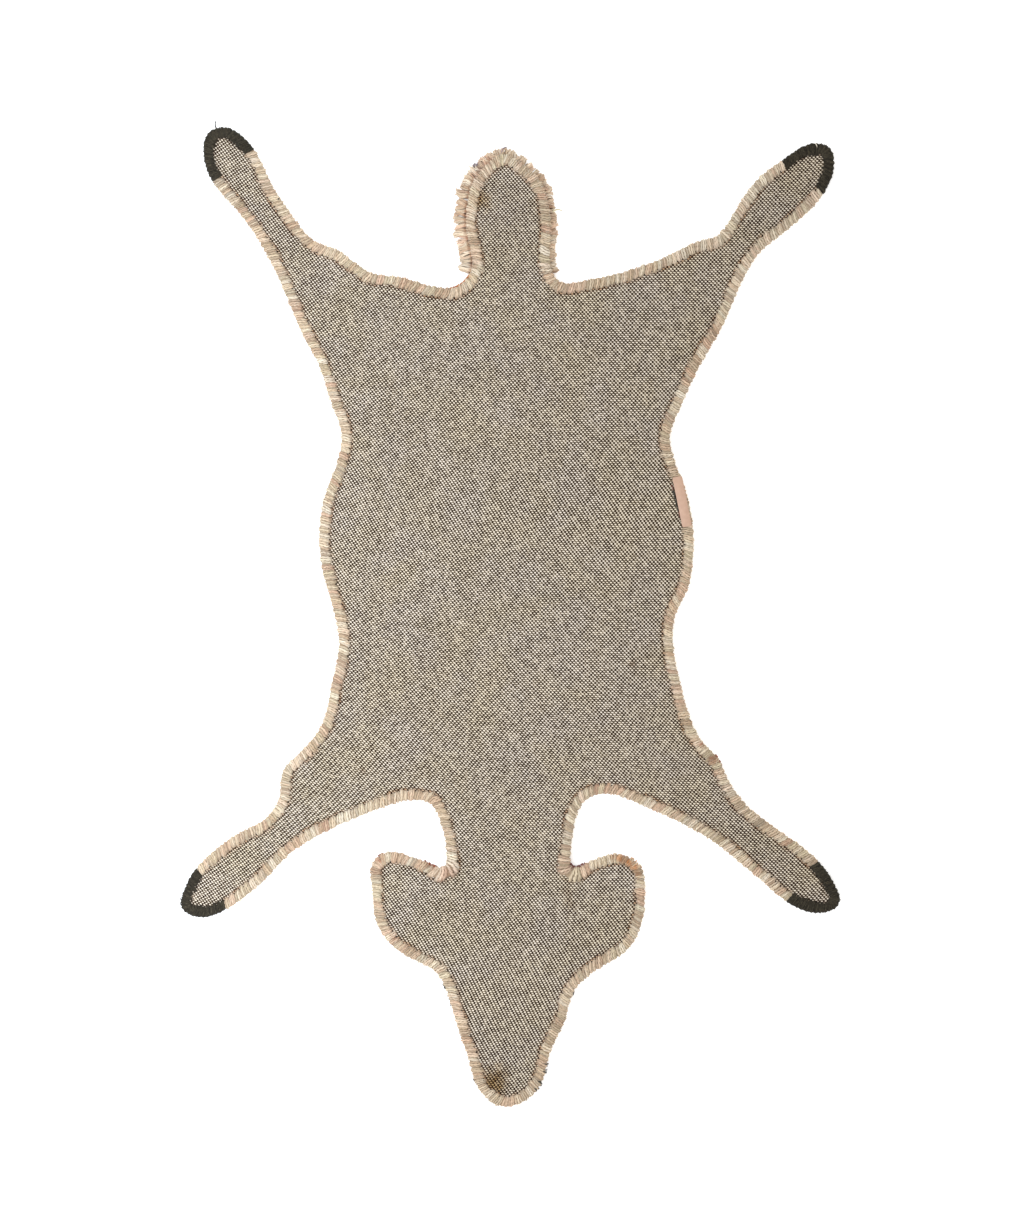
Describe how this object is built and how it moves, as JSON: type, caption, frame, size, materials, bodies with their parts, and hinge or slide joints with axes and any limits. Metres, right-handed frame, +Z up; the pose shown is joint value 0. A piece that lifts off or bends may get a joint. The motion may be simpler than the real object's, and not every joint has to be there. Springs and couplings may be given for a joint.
{
  "type": "animal-shaped children's rug",
  "caption": "Flat animal-skin-shaped children's rug with woven backing, wound yarn edge, dark hooves and a lock-edged tail; lies on a floor, pile side down.",
  "frame": {"origin": "middle of the rug's footprint, at the floor", "axes": "+Y from the muzzle to the tail, +X to the right flank as laid out backing up, +Z up, out of the woven backing"},
  "size_m": [0.6584, 0.9782, 0.0154],
  "materials": {
    "backing_canvas": "plain weave of cream weft over dark warp, matt",
    "cream_wool": "spun wool yarn, cream to sand, matt",
    "charcoal_wool": "spun wool yarn, charcoal, matt",
    "tab_leather": "undyed pale pink-tan leather, satin, bare"
  },
  "bodies": {
    "root": {"canvas": "backing_canvas", "pile_body": "cream_wool", "pile_tail": "cream_wool", "pile_hoof_fore_left": "charcoal_wool", "pile_hoof_fore_right": "charcoal_wool", "pile_hoof_hind_left": "charcoal_wool", "pile_hoof_hind_right": "charcoal_wool", "whipping_front": "cream_wool", "whipping_rear": "cream_wool", "whipping_flank_left": "cream_wool", "whipping_flank_right": "cream_wool", "whipping_hoof_fore_left": "charcoal_wool", "whipping_hoof_fore_right": "charcoal_wool", "whipping_hoof_hind_left": "charcoal_wool", "whipping_hoof_hind_right": "charcoal_wool", "tab": "tab_leather"}
  },
  "joints": []
}
